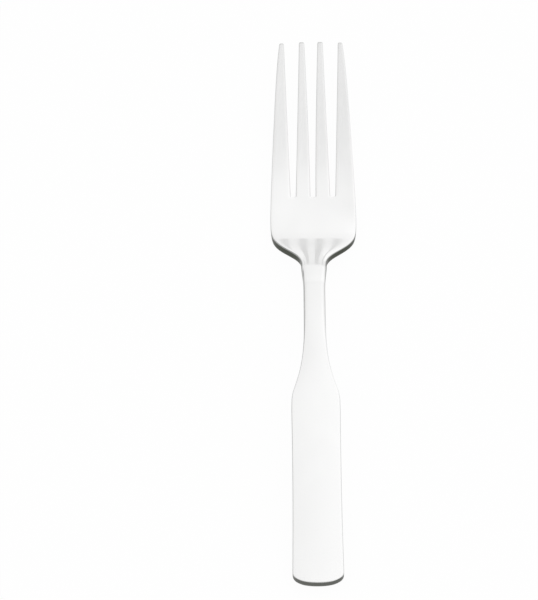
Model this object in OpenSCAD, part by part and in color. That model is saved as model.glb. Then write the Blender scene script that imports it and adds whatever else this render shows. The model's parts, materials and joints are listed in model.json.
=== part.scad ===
// Four-tine salad fork of polished stainless steel, pressed from one flat blank.
// It lies on its back with the tines up: the handle end and the underside of the palm touch
// the table. +Y runs from the handle end to the tine tips, +X goes across and +Z is up.
// The origin is on the table, under the middle of the fork.
// Every region is lofted from the same outline, spine and thickness, so neighbours share
// one section and meet face to face, as regions of one piece of metal do.

/* [Handle] */
// Length from the handle end to the shoulders
handle_l = 54.7; // [45:0.1:65]
// Width of the handle at its end
handle_end_w = 14.3; // [12:0.1:18]
// Width of the handle at its shoulders
shoulder_w = 13.8; // [12:0.1:18]
// How much narrower the handle is in its middle
handle_waist = 0.5; // [0:0.1:1.5]
// Thickness of the handle
handle_t = 2.9; // [2:0.1:4]
// Length of the rounded handle end
end_depth = 3.3; // [2:0.1:6]
// Angle at which the straight handle rises from the table, in degrees
handle_pitch = 6.2; // [4:0.1:8]
// Height of the dome on the upper side of the handle
handle_crown = 0.2; // [0.05:0.05:0.6]

/* [Neck] */
// Length from the shoulders to the narrowest place of the neck
shoulder_draw_l = 32.4; // [20:0.1:40]
// Length from the narrowest place to the crest, the highest place of the fork
neck_l = 3.1; // [2:0.1:20]
// Width of the neck at its narrowest
neck_w = 6.1; // [5:0.1:9]
// Thickness of the neck from the crest on
neck_t = 2.05; // [1.6:0.05:4]
// Radius at which the crest bends over into the heel
crest_r = 10; // [8:0.5:16]

/* [Head] */
// Angle at which the heel drops to the palm, in degrees
heel_pitch = 29.8; // [28:0.2:38]
// Radius of the bend between the heel and the palm
palm_r = 8; // [4:0.5:16]
// Height of the dome on the upper side of the heel
heel_crown = 0.2; // [0.05:0.05:0.4]
// Length from the crest to where the head starts to widen
flare_lag = 7.1; // [3:0.1:10]
// Width of the neck where the head starts to widen
flare_w = 7.25; // [5:0.1:10]
// Length over which the head widens
flare_l = 19.9; // [15:0.1:24]
// Length of the palm, from the heel to the ends of the slots
palm_l = 12.35; // [8:0.1:20]
// Width of the head at the palm, where it is widest
head_w = 24.85; // [22:0.05:30]
// Thickness of the palm
palm_t = 2.05; // [1.4:0.05:3]
// Hollow of the palm from side to side
palm_dish = 0.2; // [0:0.05:1]

/* [Tines] */
// Length of the inner tines
tine_l = 48.7; // [36:0.1:56]
// How much shorter the outer tines are
outer_tine_cut = 0.4; // [0:0.1:3]
// Height of the tine tips above the palm
tip_rise = 8; // [4:0.1:14]
// Thickness of the tines at their tips
tip_t = 1.1; // [0.8:0.05:1.8]
// Width over the outer tines at their tips
tip_spread = 18.9; // [17:0.1:22]
// Distance of the side slots from the middle of the fork
slot_pitch = 5.75; // [5:0.05:6.5]
// Width of the slots at their round ends
slot_root_w = 1.55; // [1:0.05:2]
// Width of the middle slot at the tips
mid_slot_mouth = 3.65; // [2:0.05:4.5]
// Width of the side slots at the tips
side_slot_mouth = 4.25; // [2:0.05:4.5]

/* [Edges] */
// Radius of the softened edges
edge_r = 0.3; // [0.2:0.05:0.5]

/* [Hidden] */

// Strips across the blank and across a tine, and steps round an edge
blank_strips = 10;
tine_strips = 4;
edge_steps = 3;

// Steps along each region, and facets round the end of a slot
end_steps = 9;
handle_steps = 4;
drawn_steps = 18;
slim_steps = 4;
crest_steps = 7;
ramp_steps = 14;
bend_steps = 6;
palm_steps = 10;
tine_steps = 14;
slot_facets = 48;

// Largest share of a side that a softened edge may take
edge_share = 0.45;

// Powers of the outline curves: the rounded end, the shoulders, the flare of the head, its sides,
// which lean in and then turn in at the tips, and the slots
end_power = 2.3;
shoulder_start_power = 1.24;
shoulder_fade_power = 5.1;
flare_lead_power = 0.66;
flare_power = 2.45;
head_lean_power = 1.3;
tip_turn_power = 10;
tip_turn_share = 0.17;
mid_slot_power = 1.6;
side_slot_power = 1.05;

// How much of a tine's width and thickness its blunt tip keeps, and how long the rounding is
tip_keep = 0.85;
tip_round_l = 0.5;

steel = [0.80, 0.80, 0.79];

// Curves

function mix(a, b, t) = a + (b - a) * t;
function share(y, from, to) = min(1, max(0, (y - from) / (to - from)));

// Blend from 0 to 1 that starts and ends without slope or bend
function ease(t) = t * t * t * (10 + t * (6 * t - 15));

// Height of a round bend above its lowest point
function bend(run, r) = r - sqrt(r * r - run * run);

// Stations of the handle and neck, measured from the handle end
shoulder_y = handle_l;
narrow_y = shoulder_y + shoulder_draw_l;
crest_y = narrow_y + neck_l;
flare_start_y = crest_y + flare_lag;
flare_y = flare_start_y + flare_l;

// Spine: the middle of the thickness, from the side. A straight handle and neck, the crest's
// bend, a straight heel, the bend into the palm, and one long bend up to the tine tips.
handle_slope = tan(handle_pitch);
heel_slope = tan(heel_pitch);
end_z = cos(handle_pitch) * handle_t / 2;
palm_z = palm_t / 2;
crest_start_y = crest_y - crest_r * sin(handle_pitch);
crest_z = end_z + crest_start_y * handle_slope + bend(crest_r * sin(handle_pitch), crest_r);
ramp_start_y = crest_y + crest_r * sin(heel_pitch);
ramp_start_z = crest_z - bend(crest_r * sin(heel_pitch), crest_r);
ramp_end_z = palm_z + bend(palm_r * sin(heel_pitch), palm_r);
ramp_end_y = ramp_start_y + (ramp_start_z - ramp_end_z) / heel_slope;

// Stations of the palm and tines
palm_y = ramp_end_y + palm_r * sin(heel_pitch);
root_y = palm_y + palm_l;
tip_y = root_y + tine_l;
tine_run = tip_y - palm_y;
tine_r = (tine_run * tine_run + tip_rise * tip_rise) / (2 * tip_rise);

function spine(y) =
    y < crest_start_y ? end_z + y * handle_slope
    : y < ramp_start_y ? crest_z - bend(y - crest_y, crest_r)
    : y < ramp_end_y ? ramp_start_z - (y - ramp_start_y) * heel_slope
    : y < palm_y ? palm_z + bend(palm_y - y, palm_r)
    : palm_z + bend(y - palm_y, tine_r);

slope_step = 0.01;
function pitch(y) = atan((spine(y + slope_step) - spine(y - slope_step)) / (2 * slope_step));

function thickness(y) =
    y < flare_start_y ? mix(handle_t, neck_t, ease(share(y, shoulder_y, crest_y)))
    : y < palm_y ? mix(neck_t, palm_t, ease(share(y, flare_start_y, palm_y)))
    : mix(palm_t, tip_t, share(y, root_y, tip_y));

// Hollow of the palm and tines, and the dome on the upper side from the handle to the heel
function hollow(y, x) = palm_dish * ease(share(y, palm_y, root_y)) * pow(2 * x / head_w, 2);
function crown(y) =
    mix(handle_crown, heel_crown, ease(share(y, shoulder_y, crest_y)))
    * (1 - share(y, crest_y, palm_y));

// Outline: half the width, from above

function neck_half(y) = mix(neck_w, flare_w, ease(share(y, narrow_y, flare_start_y))) / 2;
function handle_half(y) =
    let (t = share(y, 0, shoulder_y))
    mix(handle_end_w, shoulder_w, t) / 2 - 2 * handle_waist * t * (1 - t);
function end_share(y) = pow(1 - pow(1 - share(y, 0, end_depth), end_power), 1 / end_power);
function shoulder_share(t) = pow(1 - pow(t, shoulder_start_power), shoulder_fade_power);
function flare_share(t) =
    let (lead = pow(t, flare_lead_power), done = pow(lead, flare_power))
    done / (done + pow(1 - lead, flare_power));
function side_share(t) = mix(pow(t, head_lean_power), pow(t, tip_turn_power), tip_turn_share);

function half_w(y) =
    y < shoulder_y ? handle_half(y) * end_share(y)
    : y < flare_start_y ? mix(neck_half(y), shoulder_w / 2, shoulder_share(share(y, shoulder_y, narrow_y)))
    : y < flare_y ? mix(flare_w, head_w, flare_share(share(y, flare_start_y, flare_y))) / 2
    : mix(head_w, tip_spread, side_share(share(y, flare_y, tip_y))) / 2;

// Half the width that the dome spans: the rounded end cuts through it
function dome_half(y) = y < shoulder_y ? handle_half(y) : half_w(y);

// Half the width of a slot
function slot_half(y, mouth, power) = mix(slot_root_w, mouth, pow(share(y, root_y, tip_y), power)) / 2;
function mid_slot_half(y) = slot_half(y, mid_slot_mouth, mid_slot_power);
function side_slot_half(y) = slot_half(y, side_slot_mouth, side_slot_power);

// Sections

function corner(x, n, r, from, first, last) =
    [for (i = [first:last]) let (a = from + 90 * i / edge_steps) [x + r * cos(a), n + r * sin(a)]];

// Slab with softened edges between two sides, as points across and through the thickness
function slab(left, right, t, strips) =
    let (
        r = min(edge_r, edge_share * t, edge_share * (right - left)),
        flat_w = right - left - 2 * r,
        top = t / 2
    )
    concat(
        [for (i = [0:strips]) [left + r + flat_w * i / strips, -top]],
        corner(right - r, r - top, r, -90, 1, edge_steps),
        corner(right - r, top - r, r, 0, 0, edge_steps - 1),
        [for (i = [0:strips]) [right - r - flat_w * i / strips, top]],
        corner(left + r, top - r, r, 90, 1, edge_steps),
        corner(left + r, r - top, r, 180, 0, edge_steps - 1)
    );

// Point of a section, set square to the spine, with the hollow and the dome of the metal
function placed(y, x, n) =
    let (
        a = pitch(y),
        dome = n > 0 ? crown(y) * (1 - pow(x / dome_half(y), 2)) * 2 * n / thickness(y) : 0,
        out = n + hollow(y, x) + dome
    )
    [x, y - out * sin(a), spine(y) + out * cos(a)];

function section(y, left, right, t, strips) =
    [for (p = slab(left, right, t, strips)) placed(y, p[0], p[1])];

function blank_section(y) = section(y, -half_w(y), half_w(y), thickness(y), blank_strips);

function spread(from, to, count) = [for (i = [0:count]) mix(from, to, i / count)];

// Lofts

module loft(rings, strips) {
    n = len(rings[0]);
    last = (len(rings) - 1) * n;
    top = strips + 2 * edge_steps + 1;
    sides = [
        for (i = [0:n:last - n], j = [0:n - 1])
        let (a = i + j, b = i + (j + 1) % n)
        each [[a, b + n, a + n], [a, b, b + n]]
    ];
    cap = concat(
        [for (i = [0:strips - 1]) [i, i + 1, top + strips - i - 1, top + strips - i]],
        [[for (j = [strips:top]) j]],
        [[for (j = [top + strips:n]) j % n]]
    );
    near_cap = [for (face = cap) [for (j = [len(face) - 1:-1:0]) face[j]]];
    far_cap = [for (face = cap) [for (j = face) last + j]];
    polyhedron([for (ring = rings) each ring], concat(sides, near_cap, far_cap));
}

// Moves the fork from its stations to the table's frame
front_y = tip_y + sin(pitch(tip_y)) * tip_t * tip_keep / 2;
back_y = -sin(handle_pitch) * (handle_t / 2 + handle_crown);
module on_table() {
    translate([0, -(front_y + back_y) / 2, 0]) children();
}

// Everything past a station, cut square to the spine
module beyond(y) {
    translate([0, y, spine(y)]) rotate([pitch(y), 0, 0])
        translate([-head_w, 0, -head_w]) cube(2 * head_w);
}

// Regions of the blank

// Metal left over at the shoulders, which the cut takes off
trim_l = 0.2;

// Stations round the handle end, closer together where it turns faster
end_first_angle = 8;
function end_station(a) = end_depth * (1 - pow(cos(a), 2 / end_power));

module handle() {
    rounded = [for (a = spread(end_first_angle, 90, end_steps)) end_station(a)];
    straight = [for (y = spread(end_depth, shoulder_y + trim_l, handle_steps)) if (y > end_depth) y];
    color(steel) on_table() difference() {
        loft([for (y = concat(rounded, straight)) blank_section(y)], blank_strips);
        beyond(shoulder_y);
    }
}

module neck() {
    drawn = [for (t = spread(0, 1, drawn_steps)) mix(shoulder_y, narrow_y, pow(t, shoulder_start_power))];
    slim = [for (y = spread(narrow_y, crest_y, slim_steps)) if (y > narrow_y) y];
    color(steel) on_table() loft([for (y = concat(drawn, slim)) blank_section(y)], blank_strips);
}

module heel() {
    crest = spread(crest_y, ramp_start_y, crest_steps);
    ramp = [for (y = spread(ramp_start_y, ramp_end_y, ramp_steps)) if (y > ramp_start_y) y];
    foot = [for (y = spread(ramp_end_y, palm_y, bend_steps)) if (y > ramp_end_y) y];
    color(steel) on_table() loft([for (y = concat(crest, ramp, foot)) blank_section(y)], blank_strips);
}

// Round end of a slot, with its upper and lower edges softened
module slot_end() {
    cylinder(d = slot_root_w, h = 2 * palm_t, center = true, $fn = slot_facets);
    for (side = [0, 1]) mirror([0, 0, side]) translate([0, 0, palm_t / 2 - edge_r])
        cylinder(d1 = slot_root_w, d2 = slot_root_w + 4 * edge_r, h = 2 * edge_r, $fn = slot_facets);
}

module slot_ends() {
    for (x = [-slot_pitch, 0, slot_pitch])
        translate([x, root_y, spine(root_y)]) rotate([pitch(root_y), 0, 0])
            translate([0, 0, hollow(root_y, x)]) slot_end();
}

module palm() {
    stations = spread(palm_y, root_y, palm_steps);
    color(steel) on_table() difference() {
        loft([for (y = stations) blank_section(y)], blank_strips);
        slot_ends();
    }
}

// Tine between two sides, each a function of the station, with a blunt rounded tip
function tine_section(y, left, right, keep) =
    let (middle = (left + right) / 2, half = (right - left) / 2 * keep)
    section(y, middle - half, middle + half, thickness(y) * keep, tine_strips);

module inner_tine() {
    stations = spread(root_y, tip_y - tip_round_l, tine_steps);
    rings = [for (y = stations) tine_section(y, mid_slot_half(y), slot_pitch - side_slot_half(y), 1)];
    tip = tine_section(tip_y, mid_slot_half(tip_y), slot_pitch - side_slot_half(tip_y), tip_keep);
    color(steel) on_table() loft(concat(rings, [tip]), tine_strips);
}

module outer_tine() {
    end_y = tip_y - outer_tine_cut;
    stations = spread(root_y, end_y - tip_round_l, tine_steps);
    rings = [for (y = stations) tine_section(y, slot_pitch + side_slot_half(y), half_w(y), 1)];
    tip = tine_section(end_y, slot_pitch + side_slot_half(end_y), half_w(end_y), tip_keep);
    color(steel) on_table() loft(concat(rings, [tip]), tine_strips);
}

module left_hand() {
    mirror([1, 0, 0]) children();
}

handle();
neck();
heel();
palm();
left_hand() outer_tine();  // tine_outer_left
left_hand() inner_tine();  // tine_inner_left
inner_tine();  // tine_inner_right
outer_tine();  // tine_outer_right
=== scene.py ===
# %% [markdown]
# # A salad fork, pressed from one sheet of steel
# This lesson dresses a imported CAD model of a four-tine fork. The CAD model splits the fork into
# eight named regions. The real fork is one stamping, so here it is made as one continuous piece:
# a flat blank is cut, bent, thickened and softened at its rim, as the press does it.

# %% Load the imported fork
import json
import math

import bmesh
import bpy
from mathutils import Matrix, Vector


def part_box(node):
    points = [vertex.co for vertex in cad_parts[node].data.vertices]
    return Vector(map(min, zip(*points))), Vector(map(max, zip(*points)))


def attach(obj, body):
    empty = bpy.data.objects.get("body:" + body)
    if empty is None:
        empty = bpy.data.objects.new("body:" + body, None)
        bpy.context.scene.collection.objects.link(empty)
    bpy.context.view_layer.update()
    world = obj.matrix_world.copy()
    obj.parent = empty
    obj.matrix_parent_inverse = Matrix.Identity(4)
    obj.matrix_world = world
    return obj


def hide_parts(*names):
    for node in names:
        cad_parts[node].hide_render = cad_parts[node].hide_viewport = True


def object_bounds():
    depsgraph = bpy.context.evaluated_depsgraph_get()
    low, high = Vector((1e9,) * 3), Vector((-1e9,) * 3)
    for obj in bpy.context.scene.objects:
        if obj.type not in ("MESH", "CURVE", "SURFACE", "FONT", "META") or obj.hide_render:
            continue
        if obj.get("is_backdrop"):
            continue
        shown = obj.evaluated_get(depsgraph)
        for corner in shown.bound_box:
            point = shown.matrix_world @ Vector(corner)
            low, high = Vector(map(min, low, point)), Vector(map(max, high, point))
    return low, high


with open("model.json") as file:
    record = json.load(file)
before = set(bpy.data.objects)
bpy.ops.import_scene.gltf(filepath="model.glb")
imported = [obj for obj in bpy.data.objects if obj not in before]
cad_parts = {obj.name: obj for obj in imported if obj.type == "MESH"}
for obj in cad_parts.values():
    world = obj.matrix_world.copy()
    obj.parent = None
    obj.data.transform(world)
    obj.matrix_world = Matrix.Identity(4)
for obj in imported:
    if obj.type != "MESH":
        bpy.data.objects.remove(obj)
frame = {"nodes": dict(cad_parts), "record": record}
cad_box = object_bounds()
scene = bpy.context.scene
MM = 0.001


def in_mm(values):
    return [round(v / MM, 2) for v in values]


print("CAD box in mm:", [in_mm(corner) for corner in cad_box])

# %% [markdown]
# ## Where the regions begin and end
# Every place along the fork is read from the boxes of the CAD regions, so this piece always lies
# where the solids are. The fork runs along Y, from the end of the handle to the tips of the tines.
# The tilt of the straight handle is read from the flat face that the record names on its back.

# %% Stations along the fork
HANDLE_T = 2.9 * MM
HANDLE_CROWN = 0.2 * MM
TIP_LEAN = 0.12 * MM
SHOULDER_DRAW_L = 32.4 * MM
FLARE_LAG = 7.1 * MM
FLARE_L = 19.9 * MM

handle_lo, handle_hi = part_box("handle")
neck_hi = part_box("neck")[1]
palm_lo, palm_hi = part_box("palm")
tine_lo, tine_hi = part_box("tine_inner_right")
outer_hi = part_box("tine_outer_right")[1]

back_normal = Vector(frame["record"]["mounts"][0]["axis"])
handle_slope = back_normal.y / -back_normal.z
handle_pitch = math.atan(handle_slope)

end_y = handle_lo.y + math.sin(handle_pitch) * (HANDLE_T / 2 + HANDLE_CROWN)
shoulder_y = handle_hi.y - math.sin(handle_pitch) * HANDLE_T / 2
narrow_y = shoulder_y + SHOULDER_DRAW_L
crest_y = neck_hi.y
flare_start_y = crest_y + FLARE_LAG
flare_y = flare_start_y + FLARE_L
palm_y = palm_lo.y
root_y = (tine_lo.y + palm_hi.y) / 2
tip_y = tine_hi.y - TIP_LEAN
print("stations in mm:", in_mm((end_y, shoulder_y, crest_y, palm_y, root_y, tip_y)))

# %% [markdown]
# ## The spine
# Seen from the side, the middle of the metal is a chain of plain curves: the straight handle, a
# round crest, the heel, a round bend into the palm, and one long bend up to the tips. The chain
# could be drawn as a curve object. A short function keeps it tangent by itself, and the blank can
# then be bent to it point by point.


# %% Mixing and bending
def mix(a, b, t):
    """a where t is 0, b where it is 1."""
    return a + (b - a) * t


def share(y, start, stop):
    """How far y has come from start to stop, from 0 to 1."""
    return min(1.0, max(0.0, (y - start) / (stop - start)))


def ease(t):
    """0 to 1 with a soft start and a soft end."""
    return t ** 3 * (10 + t * (6 * t - 15))


def bend(run, r):
    """Height of a round bend over its lowest point."""
    return r - math.sqrt(r * r - run * run)


# %% [markdown]
# The heel is nearly straight: about 30 degrees steep at its top, and a little hollow towards its
# foot. That small hollow matters, because a polished heel mirrors the tines, and its slope decides
# where their streaks begin and end. Its slope is set at both ends, and its middle gains just
# enough slope for the heel to come down on the palm.

# %% Heights along the spine
PALM_T = 2.05 * MM
TIP_T = 1.1 * MM
HEEL_CROWN = 0.2 * MM
CREST_R = 10 * MM
PALM_R = 7.8 * MM
HEEL_TOP_PITCH = math.radians(30.4)
HEEL_FOOT_PITCH = math.radians(27.7)
TIP_RISE = 8 * MM

crest_z = neck_hi.z - PALM_T / 2 - HEEL_CROWN
palm_z = PALM_T / 2
crest_start_y = crest_y - CREST_R * math.sin(handle_pitch)
crest_start_z = crest_z - bend(crest_y - crest_start_y, CREST_R)

heel_top_y = crest_y + CREST_R * math.sin(HEEL_TOP_PITCH)
heel_top_z = crest_z - bend(heel_top_y - crest_y, CREST_R)
heel_foot_y = palm_y - PALM_R * math.sin(HEEL_FOOT_PITCH)
heel_foot_z = palm_z + bend(palm_y - heel_foot_y, PALM_R)
heel_run = heel_foot_y - heel_top_y
top_slope = math.tan(HEEL_TOP_PITCH)
foot_slope = math.tan(HEEL_FOOT_PITCH)
heel_gain = 1.5 * ((heel_top_z - heel_foot_z) / heel_run - (top_slope + foot_slope) / 2)

tine_run = tip_y - palm_y
tine_r = (tine_run ** 2 + TIP_RISE ** 2) / (2 * TIP_RISE)
print("crest height and tine radius in mm:", in_mm((crest_z, tine_r)))


# %% Spine and thickness
def spine(y):
    """Height and slope of the middle of the metal."""
    if y < crest_start_y:
        return crest_start_z + (y - crest_start_y) * handle_slope, handle_slope
    if y < heel_top_y:
        run = y - crest_y
        return crest_z - bend(run, CREST_R), -run / math.sqrt(CREST_R ** 2 - run ** 2)
    if y < heel_foot_y:
        t = (y - heel_top_y) / heel_run
        slope = mix(top_slope, foot_slope, t) + 4 * heel_gain * t * (1 - t)
        fall = mix(top_slope, foot_slope, t / 2) * t + heel_gain * t ** 2 * (2 - 4 * t / 3)
        return heel_top_z - heel_run * fall, -slope
    run = y - palm_y
    r = PALM_R if run < 0 else tine_r
    return palm_z + bend(run, r), run / math.sqrt(r ** 2 - run ** 2)


def thickness(y):
    if y < palm_y:
        return mix(HANDLE_T, PALM_T, ease(share(y, shoulder_y, crest_y)))
    return mix(PALM_T, TIP_T, share(y, root_y, tip_y))


# %% [markdown]
# ## The outline of the blank
# From above, the fork is a straight handle with a slight waist and a shallow round end, shoulders
# that draw in to a slim neck, a flare to the widest place of the head, and sides that lean in to
# the tips. Three slots part the tines. At the tips they are a little wider than in the solids, as
# the photograph shows them. Each stretch is one plain curve of the station along the fork.

# %% Outline and slots
HANDLE_END_W = 14.3 * MM
SHOULDER_W = 13.8 * MM
HANDLE_WAIST = 0.5 * MM
NECK_W = 6.1 * MM
DRAW_LEAD = 1.24
DRAW_POWER = 5.1
FLARE_W = 7.25 * MM
FLARE_LEAD = 0.66
FLARE_POWER = 2.45
TIP_SPREAD = 18.6 * MM
LEAN_POWER = 1.3
PINCH_POWER = 10
PINCH_SHARE = 0.17
CLEARANCE = 0.002 * MM
head_half = palm_hi.x - CLEARANCE

SLOT_PITCH = 5.75 * MM
SLOT_ROOT_W = 1.55 * MM
MID_SLOT_MOUTH = 3.85 * MM
MID_SLOT_POWER = 1.6
SIDE_SLOT_MOUTH = 4.45 * MM
SIDE_SLOT_POWER = 1.05


def half_width(y):
    if y < shoulder_y:
        t = share(y, end_y, shoulder_y)
        return mix(HANDLE_END_W, SHOULDER_W, t) / 2 - 2 * HANDLE_WAIST * t * (1 - t)
    if y < flare_start_y:
        neck = mix(NECK_W, FLARE_W, ease(share(y, narrow_y, flare_start_y))) / 2
        drawn = (1 - share(y, shoulder_y, narrow_y) ** DRAW_LEAD) ** DRAW_POWER
        return mix(neck, SHOULDER_W / 2, drawn)
    if y < flare_y:
        lead = share(y, flare_start_y, flare_y) ** FLARE_LEAD
        done = lead ** FLARE_POWER
        left = (1 - lead) ** FLARE_POWER
        return mix(FLARE_W / 2, head_half, done / (done + left))
    t = share(y, flare_y, tip_y)
    return mix(head_half, TIP_SPREAD / 2, mix(t ** LEAN_POWER, t ** PINCH_POWER, PINCH_SHARE))


def slot_half(y, mouth, power):
    return mix(SLOT_ROOT_W, mouth, share(y, root_y, tip_y) ** power) / 2


# %% [markdown]
# The blank needs columns of points where the slots will be cut. Columns 1 and 4 are the sides of
# the inner tine, columns 6 and 9 those of the outer one, and columns 0 and 5 run down the middle
# of the slots. Below the slots the same columns narrow with the outline, so the lines of the
# mesh flow from the handle into the tines without a break.

# %% Columns of the blank
MID_SLOT = 0
INNER_TINE = (1, 4)
SIDE_SLOT = 5
OUTER_TINE = (6, 9)
TINE_HOLD = 0.3


def head_columns(y):
    """Places across the right half of the head, from the middle of the fork to its side."""
    mid = slot_half(y, MID_SLOT_MOUTH, MID_SLOT_POWER)
    side = slot_half(y, SIDE_SLOT_MOUTH, SIDE_SLOT_POWER)
    inner = (mid, SLOT_PITCH - side)
    outer = (SLOT_PITCH + side, half_width(y))
    return [
        0,
        inner[0], mix(*inner, TINE_HOLD), mix(*inner, 1 - TINE_HOLD), inner[1],
        SLOT_PITCH,
        outer[0], mix(*outer, TINE_HOLD), mix(*outer, 1 - TINE_HOLD), outer[1],
    ]


root_columns = [x / half_width(root_y) for x in head_columns(root_y)]
last_column = len(root_columns) - 1


def columns(y):
    if y > root_y:
        return head_columns(y)
    return [half_width(y) * c for c in root_columns]


print("columns in the handle, mm:", in_mm(columns(shoulder_y)))

# %% [markdown]
# ## Cutting the blank
# A press cuts the blank from flat sheet. Here the sheet is one grid. Its rows lie closer together
# where the outline or the spine turns faster, and a pair of rows close together holds the shape
# at the ends of the slots and at the tips.

# %% Rows of the blank
END_DEPTH = 3.3 * MM
END_ROWS = 3
ROOT_GAP = 2 * MM
ROOT_HOLD = 0.6 * MM
TIP_START = 1.5 * MM
TIP_HOLD = 0.45 * MM


def spread(start, stop, count):
    """Stations after start, up to stop."""
    return [mix(start, stop, (i + 1) / count) for i in range(count)]


rows = [mix(end_y, end_y + END_DEPTH, i / END_ROWS) for i in range(END_ROWS + 1)]
stretches = (
    (shoulder_y, 7), (narrow_y, 16), (crest_start_y, 2), (heel_top_y, 6),
    (heel_foot_y, 12), (palm_y, 5), (root_y - ROOT_GAP, 7),
)
for stop, count in stretches:
    rows += spread(rows[-1], stop, count)
rows += [root_y]
root_row = len(rows) - 1
rows += [root_y + ROOT_HOLD]
rows += spread(root_y + ROOT_HOLD, tip_y - TIP_START, 14)
rows += [tip_y - TIP_HOLD, tip_y]
tip_row = len(rows) - 1
print("rows:", len(rows))

# %% [markdown]
# The round handle end is an arc that is flatter than a circle. The first row follows its middle,
# and the next rows carry its sides, each a little straighter, up to the first straight row.

# %% Handle end
END_TURN = math.radians(62)
END_POWER = 2.3


def end_point(turn):
    """Place on the arc: across and along, as shares of half the width and of the depth."""
    return math.sin(turn) ** (2 / END_POWER), 1 - math.cos(turn) ** (2 / END_POWER)


def end_place(row, c):
    """Place in the rows of the handle end, from the arc to the first straight row."""
    t = row / END_ROWS
    rim_x, rim_y = end_point(mix(END_TURN, math.pi / 2, t))
    arc_rim_x, arc_rim_y = end_point(END_TURN)
    arc_x, arc_y = end_point(END_TURN * c)
    x = rim_x * mix(arc_x / arc_rim_x, c, t)
    y = rim_y - (arc_rim_y - arc_y) * (1 - t)
    along = end_y + END_DEPTH * y
    return half_width(along) * x, along


# %% [markdown]
# The grid is made once, and the faces in the slots are deleted. Each point keeps three numbers
# from here on: its station along the fork, its place across it, and the share of the thickness
# that is kept there, which is less at the rounded tips.

# %% Grid and slots
blank = bmesh.new()
bmesh.ops.create_grid(blank, x_segments=2 * last_column, y_segments=tip_row, size=1)
station = blank.verts.layers.float.new("station")
across = blank.verts.layers.float.new("across")
keep = blank.verts.layers.float.new("keep")


def grid_index(co):
    """Column, counted from the middle, and row of a point of the grid."""
    return co.x * last_column, (co.y + 1) / 2 * tip_row


def in_slot(face):
    column, row = grid_index(face.calc_center_median())
    in_mid = abs(column) < INNER_TINE[0]
    in_side = INNER_TINE[1] < abs(column) < OUTER_TINE[0]
    return row > root_row and (in_mid or in_side)


bmesh.ops.delete(blank, geom=[f for f in blank.faces if in_slot(f)], context="FACES")
print("faces in the flat blank:", len(blank.faces))

# %% [markdown]
# Then every point gets its place. The tips are narrowed, the ends of the slots are rounded by
# drawing their points back, and the outer tines are a little shorter than the inner ones.

# %% Draw the outline
TIP_KEEP = 0.88
SLOT_END_MIDDLE = 0.85 * MM
SLOT_END_CORNER = 0.65 * MM
OUTER_TINE_CUT = tip_y - outer_hi.y

for vert in blank.verts:
    column, row = (round(i) for i in grid_index(vert.co))
    j = abs(column)
    if row < END_ROWS:
        x, y = end_place(row, root_columns[j])
    else:
        y = rows[row]
        places = columns(y)
        x = places[j]
    vert[keep] = 1
    if row == tip_row:
        left, right = INNER_TINE if j < SIDE_SLOT else OUTER_TINE
        x = mix((places[left] + places[right]) / 2, x, TIP_KEEP)
        vert[keep] = TIP_KEEP
    if row == root_row and j in (MID_SLOT, SIDE_SLOT):
        y -= SLOT_END_MIDDLE
    if row == root_row and j in (*INNER_TINE, OUTER_TINE[0]):
        y -= SLOT_END_CORNER
    if j > SIDE_SLOT and row > root_row:
        y -= OUTER_TINE_CUT * (row - root_row) / (tip_row - root_row)
    vert[station] = y
    vert[across] = math.copysign(x, column)

# %% [markdown]
# ## Bending and thickening
# The blank is laid along the spine with every row square to it. The palm is hollowed a little
# from side to side, and the upper sides of handle, neck and heel are domed a little, as pressing
# leaves them. The neck's edges are ground rounder than the others. On the heel, two small faults
# of the pressing are kept, because its mirror shows them: its long edges are rolled over, more on
# the right, and it is twisted by less than a degree.

# %% Shape across the fork
PALM_DISH = 0.2 * MM
NECK_DROOP = 0.05 * MM
HEEL_DROOP = 0.11 * MM
NECK_ROUND = 0.45
NECK_ROUND_POWER = 14
NECK_FADE = 9 * MM
HEEL_FADE = 2 * MM
LEFT_ROLL = 0.03 * MM
RIGHT_ROLL = 0.09 * MM
ROLL_POWER = 6
HEEL_TWIST = 0.016


def before_palm(y):
    """1 up to the foot of the heel, fading out over the palm."""
    return 1 - ease(share(y, heel_foot_y, root_y))


def droop(y):
    """How far the sides of the upper face lie under its middle."""
    if y < crest_y:
        return mix(HANDLE_CROWN, NECK_DROOP, ease(share(y, shoulder_y, narrow_y)))
    heel_middle = (heel_top_y + heel_foot_y) / 2
    risen = mix(NECK_DROOP, HEEL_DROOP, ease(share(y, crest_y, heel_middle)))
    return risen * before_palm(y)


def neck_share(y):
    """1 in the neck, where the edges are ground rounder, and 0 in the handle and the head."""
    rise = ease(share(y, shoulder_y + NECK_FADE, narrow_y))
    return rise * (1 - ease(share(y, flare_start_y - HEEL_FADE, flare_start_y + HEEL_FADE)))


def on_heel(y):
    """1 on the heel, fading out over the crest and the palm."""
    return ease(share(y, crest_y, flare_start_y)) * before_palm(y)


# %% [markdown]
# The sheet is first laid as the underside. Extruding all its faces gives a second skin, with
# walls round the outline and the slots, and that skin becomes the upper side. A Solidify modifier
# could thicken it too, but here the skins also differ in shape: only the upper one is domed.


# %% Lay the metal along the spine
def laid(vert, upper):
    """Place of a point of the underside or the upper side."""
    y = vert[station]
    x = vert[across]
    z, slope = spine(y)
    pitch = math.atan(slope)
    side = abs(x / half_width(y))
    out = PALM_DISH * ease(share(y, palm_y, root_y)) * (x / head_half) ** 2
    rounding = NECK_ROUND * neck_share(y) * side ** NECK_ROUND_POWER
    half_t = vert[keep] * (1 - rounding) * thickness(y) / 2
    if upper:
        middle = mix(HANDLE_CROWN, HEEL_CROWN, ease(share(y, shoulder_y, crest_y))) * before_palm(y)
        roll = LEFT_ROLL if x < 0 else RIGHT_ROLL
        out += half_t + middle - droop(y) * side ** 2
        out -= on_heel(y) * (roll * side ** ROLL_POWER + HEEL_TWIST * x)
    else:
        out -= half_t - CLEARANCE
    return Vector((x, y - out * math.sin(pitch), z + out * math.cos(pitch)))


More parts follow.
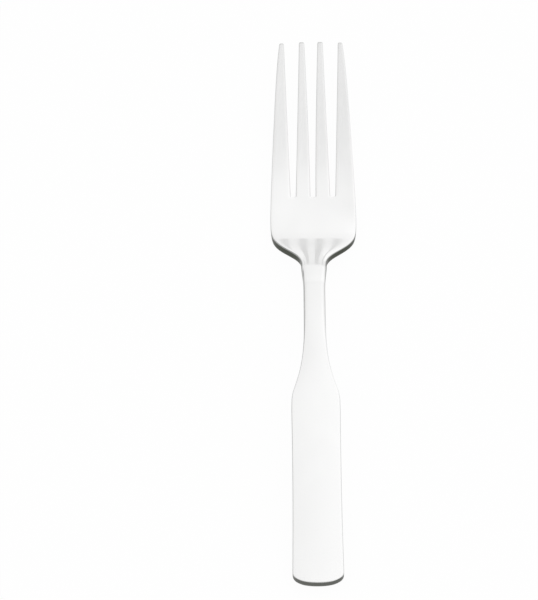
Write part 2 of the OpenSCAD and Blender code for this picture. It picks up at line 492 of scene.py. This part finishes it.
under_verts = blank.verts[:]
raised = bmesh.ops.extrude_face_region(blank, geom=blank.faces[:], use_keep_orig=True)
upper_verts = [g for g in raised["geom"] if isinstance(g, bmesh.types.BMVert)]
for vert in under_verts:
    vert.co = laid(vert, upper=False)
for vert in upper_verts:
    vert.co = laid(vert, upper=True)
bmesh.ops.recalc_face_normals(blank, faces=blank.faces[:])
open_edges = sum(not e.is_manifold for e in blank.edges)
print("faces after thickening:", len(blank.faces), "open edges:", open_edges)

# %% [markdown]
# ## Softening the rim
# A punched edge is sharp, and tumbling and buffing round it. A bevel on every edge of the rim
# gives that radius, and a subdivision surface then turns bevel and faces into one smooth skin,
# which a mirror finish needs: it shows every facet. The edges to bevel are found by their angle.
# The neck's edges are blunter already, so there a smaller angle counts.

# %% Bevel the rim
EDGE_R = 0.28 * MM
RIM_ANGLE = math.radians(60)
NECK_RIM_ANGLE = math.radians(30)


def on_rim(edge):
    y = (edge.verts[0].co.y + edge.verts[1].co.y) / 2
    return edge.calc_face_angle() > mix(RIM_ANGLE, NECK_RIM_ANGLE, neck_share(y))


rim_edges = [e for e in blank.edges if on_rim(e)]
bmesh.ops.bevel(
    blank, geom=rim_edges, offset=EDGE_R, offset_type="OFFSET", affect="EDGES",
    segments=2, profile=0.5, material=-1, clamp_overlap=True,
)
blank.normal_update()
print("rim edges:", len(rim_edges), "faces:", len(blank.faces))

# %% [markdown]
# The walls of the rim get painted shade: their colour is made dark, and the steel there is also
# rougher.
# Each point carries a number for it: 1 where the rim is painted dark and rough, 0 where it is
# bright.
# Walls that face the handle's end are painted dark a little further round their edge. Towards the
# tines the painted shade fades out, so their walls are bright, apart from the very tips. The inside
# corner between neck and heel gets painted shade too.

# %% Mark the rim's painted shade
RIM_FACING = (0.3, 0.55)
FRONT_FACING = (0.2, 0.6)
FRONT_REACH = 0.35
# The inside corner between neck and heel gets painted shade too.
CORNER_REACH = (2 * MM, 6 * MM)
CORNER_SIDE = (0.9, 0.97)
TINE_FADE = 12 * MM
# How much painted shade the very tips of the tines get.
TIP_SHADE = 0.8
TIP_REACH = 0.6 * MM

rim = blank.verts.layers.float.new("rim")
for vert in blank.verts:
    x, y = vert.co.xy
    pitch = math.atan(spine(y)[1])
    upright = Vector((0, -math.sin(pitch), math.cos(pitch)))
    reach = FRONT_REACH * share(-vert.normal.y, *FRONT_FACING)
    bright = share(abs(vert.normal.dot(upright)) - reach, *RIM_FACING)
    on_wall = (1 - share(y, palm_y, root_y + TINE_FADE)) * (1 - bright)
    near_corner = 1 - share(abs(y - flare_start_y), *CORNER_REACH)
    in_corner = near_corner * share(abs(x) / half_width(y), *CORNER_SIDE)
    tine_end = tip_y - (OUTER_TINE_CUT if abs(x) > SLOT_PITCH else 0)
    at_tip = TIP_SHADE * share(y, tine_end - TIP_REACH, tine_end)
    vert[rim] = max(on_wall, in_corner, at_tip)

# %% [markdown]
# The finished mesh becomes one object. It rides on the fork's only body and stands in for all
# eight CAD regions, and its skin is subdivided twice, in the viewport as in the render.

# %% Make the piece
SKIN_LEVELS = 2

mesh = bpy.data.meshes.new("fork")
blank.to_mesh(mesh)
blank.free()
mesh.shade_smooth()
fork = bpy.data.objects.new("fork", mesh)
scene.collection.objects.link(fork)
skin = fork.modifiers.new("skin", "SUBSURF")
skin.levels = SKIN_LEVELS
skin.render_levels = SKIN_LEVELS

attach(fork, "root")
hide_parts(*frame["nodes"])
print("faces before the skin:", len(mesh.polygons))

# %% [markdown]
# ## A way to write shaders
# A material is a small program, and its maths reads best as maths. This class holds one socket of
# a node tree. Adding or multiplying two of them adds the Math node for it, and its node method
# adds any other node: settings are set first, then values are set and links are made.


# %% Sockets with arithmetic
class Socket:
    def __init__(self, tree, socket=None):
        self.tree = tree
        self.socket = socket

    def node(self, kind, inputs, out=0, **settings):
        made = self.tree.nodes.new(kind)
        for name, value in settings.items():
            setattr(made, name, value)
        for name, value in inputs.items():
            if isinstance(value, Socket):
                self.tree.links.new(value.socket, made.inputs[name])
            else:
                made.inputs[name].default_value = value
        return Socket(self.tree, made.outputs[out] if made.outputs else None)

    def math(self, operation, first, second):
        return self.node("ShaderNodeMath", {0: first, 1: second}, operation=operation)

    def __add__(self, other):
        return self.math("ADD", self, other)

    def __sub__(self, other):
        return self.math("SUBTRACT", self, other)

    def __rsub__(self, other):
        return self.math("SUBTRACT", other, self)

    def __mul__(self, other):
        return self.math("MULTIPLY", self, other)

    def __or__(self, other):
        return self.math("MAXIMUM", self, other)

    __radd__ = __add__
    __rmul__ = __mul__

    def between(self, low, high):
        """0 at low, 1 at high, with a soft start and end."""
        inputs = {"Value": self, "From Min": low, "From Max": high}
        return self.node("ShaderNodeMapRange", inputs, interpolation_type="SMOOTHSTEP")

    def blend(self, first, second):
        """First colour where this is 0, second where it is 1."""
        return self.node("ShaderNodeMix", {0: self, 6: first, 7: second}, out=2, data_type="RGBA")


def new_material(name):
    material = bpy.data.materials.new(name)
    material.use_nodes = True
    material.node_tree.nodes.clear()
    return material, Socket(material.node_tree)


# %% [markdown]
# ## Polished steel
# The faces are buffed to a mirror. What gives a real mirror away is small: faint lines from the
# buffing wheel, which show most on the tines, a slow waviness that the press leaves, and a haze
# here and there. The heel below the crest is made the clearest mirror: smoother, and its colour a
# little brighter. All of it is measured in metres on the fork itself, so it stays put from every
# side.

# %% What varies over the steel
PATCHES = (0.35, 0.65)

steel, tree = new_material("polished_steel")
place = tree.node("ShaderNodeTexCoord", {}, out="Object")
along = tree.node("ShaderNodeSeparateXYZ", {"Vector": place}, out="Y")
# The rim number: 1 where the colour gets painted shade and the steel is rougher.
rough_rim_and_painted_shade = tree.node("ShaderNodeAttribute", {}, out="Fac", attribute_name="rim")


def noise(waves, stretch, detail):
    """Noise of about that many waves in a metre, drawn out along the fork."""
    inputs = {"Vector": place, "Scale": (1.0, 1.0 / stretch, 1.0)}
    drawn = tree.node("ShaderNodeMapping", inputs, vector_type="POINT")
    return tree.node("ShaderNodeTexNoise", {"Vector": drawn, "Scale": waves, "Detail": detail})


waviness = noise(waves=55, stretch=1.6, detail=1.0)
buffing = noise(waves=2600, stretch=40, detail=3.0)
haze = noise(waves=75, stretch=1.5, detail=2.0).between(*PATCHES)
lines = along.between(root_y, root_y + TINE_FADE) * buffing.between(*PATCHES)

# The heel below the crest: smoother, and its colour a little brighter.
under_crest = along.between(heel_top_y - 1 * MM, heel_top_y + 5 * MM)
near_palm = along.between(heel_foot_y - 9 * MM, heel_foot_y - 1 * MM)
heel_mirror = under_crest * (1 - near_palm)

# %% [markdown]
# These masks now mix the colours and set the roughness. Bare metal mirrors less at a grazing angle
# than Blender's plain curve gives, and the specular tint corrects that. The rim is rougher than the
# faces, and its colour is painted shade, much darker than the faces.

# %% Steel
FACE_STEEL = (0.85, 0.85, 0.847, 1)
HAZY_STEEL = (0.81, 0.81, 0.808, 1)
CLEAR_STEEL = (0.885, 0.885, 0.881, 1)
GRAZED_STEEL = (0.84, 0.84, 0.84, 1)
# The rim's colour: painted shade, far darker than the steel.
RIM_PAINTED_SHADE = (0.075, 0.08, 0.066, 1)
FACE_ROUGH = 0.09
HAZE_ROUGH = 0.04
BUFFING_ROUGH = 0.03
RIM_ROUGH = 0.22
HEEL_SMOOTHING = 0.7
WAVE_HEIGHT = 0.06 * MM
BUFFING_HEIGHT = 0.0004 * MM

face_colour = (0.5 * haze + 0.5 * lines).blend(FACE_STEEL, HAZY_STEEL)
# The rim number mixes in the painted shade.
colour = rough_rim_and_painted_shade.blend(heel_mirror.blend(face_colour, CLEAR_STEEL), RIM_PAINTED_SHADE)
worn = FACE_ROUGH + HAZE_ROUGH * haze + BUFFING_ROUGH * buffing
roughness = worn * (1 - HEEL_SMOOTHING * heel_mirror) + RIM_ROUGH * rough_rim_and_painted_shade
height = WAVE_HEIGHT * waviness + BUFFING_HEIGHT * buffing
bump = tree.node("ShaderNodeBump", {"Height": height, "Strength": 1.0, "Distance": 1.0})
steel_shader = tree.node(
    "ShaderNodeBsdfPrincipled",
    {
        "Base Color": colour,
        "Roughness": roughness,
        "Metallic": 1.0,
        "Specular Tint": GRAZED_STEEL,
        "Normal": bump,
    },
)
tree.node("ShaderNodeOutputMaterial", {"Surface": steel_shader})
mesh.materials.append(steel)
print("steel nodes:", len(steel.node_tree.nodes))

# %% [markdown]
# ## Floor
# The fork lies on plain white. A floor that only scatters light would come out grey, so it also
# glows, and only for the camera and for what metal mirrors. A small part of what the camera sees
# is still scattered light, and so the floor keeps the soft shadow under the fork.

# %% White floor
WHITE = (1, 1, 1, 1)
FLOOR_WHITE = (0.95, 0.95, 0.95, 1)
FLOOR_HALF = 3.0
FLOOR_DROP = 0.1 * MM
FLOOR_GLOW = 0.96

floor_shape = bmesh.new()
bmesh.ops.create_grid(floor_shape, x_segments=1, y_segments=1, size=FLOOR_HALF)
bmesh.ops.translate(floor_shape, verts=floor_shape.verts[:], vec=(0, 0, -FLOOR_DROP))
floor_mesh = bpy.data.meshes.new("floor")
floor_shape.to_mesh(floor_mesh)
floor_shape.free()
floor = bpy.data.objects.new("floor", floor_mesh)
scene.collection.objects.link(floor)
floor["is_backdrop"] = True


def ray(tree, kind):
    """1 for light paths of that kind, 0 for all others."""
    return tree.node("ShaderNodeLightPath", {}, out=f"Is {kind} Ray")


white, tree = new_material("white_floor")
seen = ray(tree, "Camera") | ray(tree, "Glossy") | ray(tree, "Transmission")
scatter = tree.node("ShaderNodeBsdfDiffuse", {"Color": FLOOR_WHITE})
glow = tree.node("ShaderNodeEmission", {"Color": WHITE, "Strength": 1.0})
floor_shader = tree.node("ShaderNodeMixShader", {0: FLOOR_GLOW * seen, 1: scatter, 2: glow})
tree.node("ShaderNodeOutputMaterial", {"Surface": floor_shader})
floor_mesh.materials.append(white)
print("floor:", 2 * FLOOR_HALF, "m wide")

# %% [markdown]
# ## Studio light
# Polished metal has no look of its own: it shows the room. The room here is a white tent. Its
# back is the brightest, its roof is slightly greyer, and its front, where the camera stands, is
# dark. The right is a little brighter than the left, and low down the left wall is dark too. A
# picture of a room could light it, but a few soft steps of the direction say the same and can
# be read. Each step turns between two values of how far a direction points that way, where 1 is
# straight that way. The camera itself sees plain white.

# %% Tent
TENT_LEVEL = 1.1
ROOF_DIM = 0.11
FRONT_DIM = 0.85
BACK_DIM = 0.02
LOW_LEFT_DIM = 0.75
LOW_RIGHT_DIM = 0.15
LEFT_LEVEL = 0.93
RIGHT_GAIN = 0.14

world = bpy.data.worlds.new("tent")
world.use_nodes = True
world.node_tree.nodes.clear()
scene.world = world
tree = Socket(world.node_tree)
direction = tree.node("ShaderNodeTexCoord", {}, out="Generated")
toward_right = tree.node("ShaderNodeSeparateXYZ", {"Vector": direction}, out="X")
toward_back = tree.node("ShaderNodeSeparateXYZ", {"Vector": direction}, out="Y")
upward = tree.node("ShaderNodeSeparateXYZ", {"Vector": direction}, out="Z")

roof = 1 - ROOF_DIM * (1 - toward_back.between(0.3, 0.5))
front = 1 - FRONT_DIM * (0 - toward_back).between(0.3, 0.85)
back_wall = 1 - BACK_DIM * toward_back.between(0.6, 0.85)
low_left = LOW_LEFT_DIM * (0 - toward_right).between(0.35, 0.75)
low_right = LOW_RIGHT_DIM * toward_right.between(0.35, 0.75)
walls = 1 - (low_left + low_right) * (1 - upward.between(0.25, 0.6))
left_to_right = LEFT_LEVEL + RIGHT_GAIN * toward_right.between(-0.2, 0.2)

level = TENT_LEVEL * roof * front * back_wall * walls * left_to_right
strength = level + ray(tree, "Camera") * (1 - level)
tent = tree.node("ShaderNodeBackground", {"Color": WHITE, "Strength": strength})
tree.node("ShaderNodeOutputWorld", {"Surface": tent})
print("tent nodes:", len(world.node_tree.nodes))

# %% [markdown]
# Three lamps join the tent. A soft one in front lights the walls that face the camera. Two wide
# panels hang low over the fork, where the handle and the neck mirror them, and brighten these
# faces a little. They hang at different heights, because of two panels in one plane only one
# would be seen.


# %% Lamps
def soft_lamp(name, place, aim, width, length, energy):
    """A soft rectangle of light that shines from its place to its aim."""
    light = bpy.data.lights.new(name, "AREA")
    light.shape = "RECTANGLE"
    light.size = width
    light.size_y = length
    light.energy = energy
    lamp = bpy.data.objects.new(name, light)
    backward = Vector(place) - Vector(aim)
    turned = backward.to_track_quat("Z", "Y").to_matrix().to_4x4()
    lamp.matrix_world = Matrix.Translation(place) @ turned
    scene.collection.objects.link(lamp)
    print(name, "at", place)


soft_lamp("front_lamp", (0.15, -0.6, 0.7), (0, 0, 0), width=0.45, length=0.45, energy=0.5)
soft_lamp("handle_panel", (0, -0.005, 0.25), (0, -0.005, 0), width=0.3, length=0.13, energy=0.0055)
soft_lamp("neck_panel", (0, 0.014, 0.255), (0, 0.014, 0), width=0.3, length=0.168, energy=0.0143)

# %% [markdown]
# ## Camera
# The photograph looks down at the fork from the handle side, 30 degrees off straight down, from
# far away. The camera stands there, rolled by less than a degree, and turned until the middle
# of the fork lies where it does in the picture.

# %% Camera
IMAGE = Vector((538, 600))
MIDDLE = Vector((314.606, 312.07))
MM_PER_PIXEL = 0.28564
DISTANCE = 1.0
TILT = math.radians(30)
ROLL = math.radians(0.814)

focal = DISTANCE / (MM_PER_PIXEL * MM)
lens = bpy.data.cameras.new("camera")
lens.sensor_width = 36
lens.lens = focal * lens.sensor_width / max(IMAGE)
lens.clip_start = 0.05
lens.clip_end = 50
camera = bpy.data.objects.new("camera", lens)

stand = Matrix.Rotation(TILT, 3, "X") @ Matrix.Rotation(-ROLL, 3, "Z")
offset = MIDDLE - IMAGE / 2
to_middle = Vector((offset.x, -offset.y, -focal))
turn = to_middle.rotation_difference(Vector((0, 0, -1))).to_matrix()
backward = stand @ Vector((0, 0, 1))
camera.matrix_world = Matrix.Translation(backward * DISTANCE) @ (stand @ turn).to_4x4()
scene.collection.objects.link(camera)
scene.camera = camera
scene.view_settings.view_transform = "Standard"
print("lens", round(lens.lens, 1), "mm, camera at", in_mm(camera.matrix_world.translation), "mm")

# %% [markdown]
# ## Size
# The dressed fork has to stay inside the box of the CAD model, so both boxes are printed.

# %% Both boxes
bpy.context.view_layer.update()
boxes = {"cad": [list(c) for c in cad_box], "visual": [list(c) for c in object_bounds()]}
print("visual box in mm:", [in_mm(corner) for corner in boxes["visual"]])
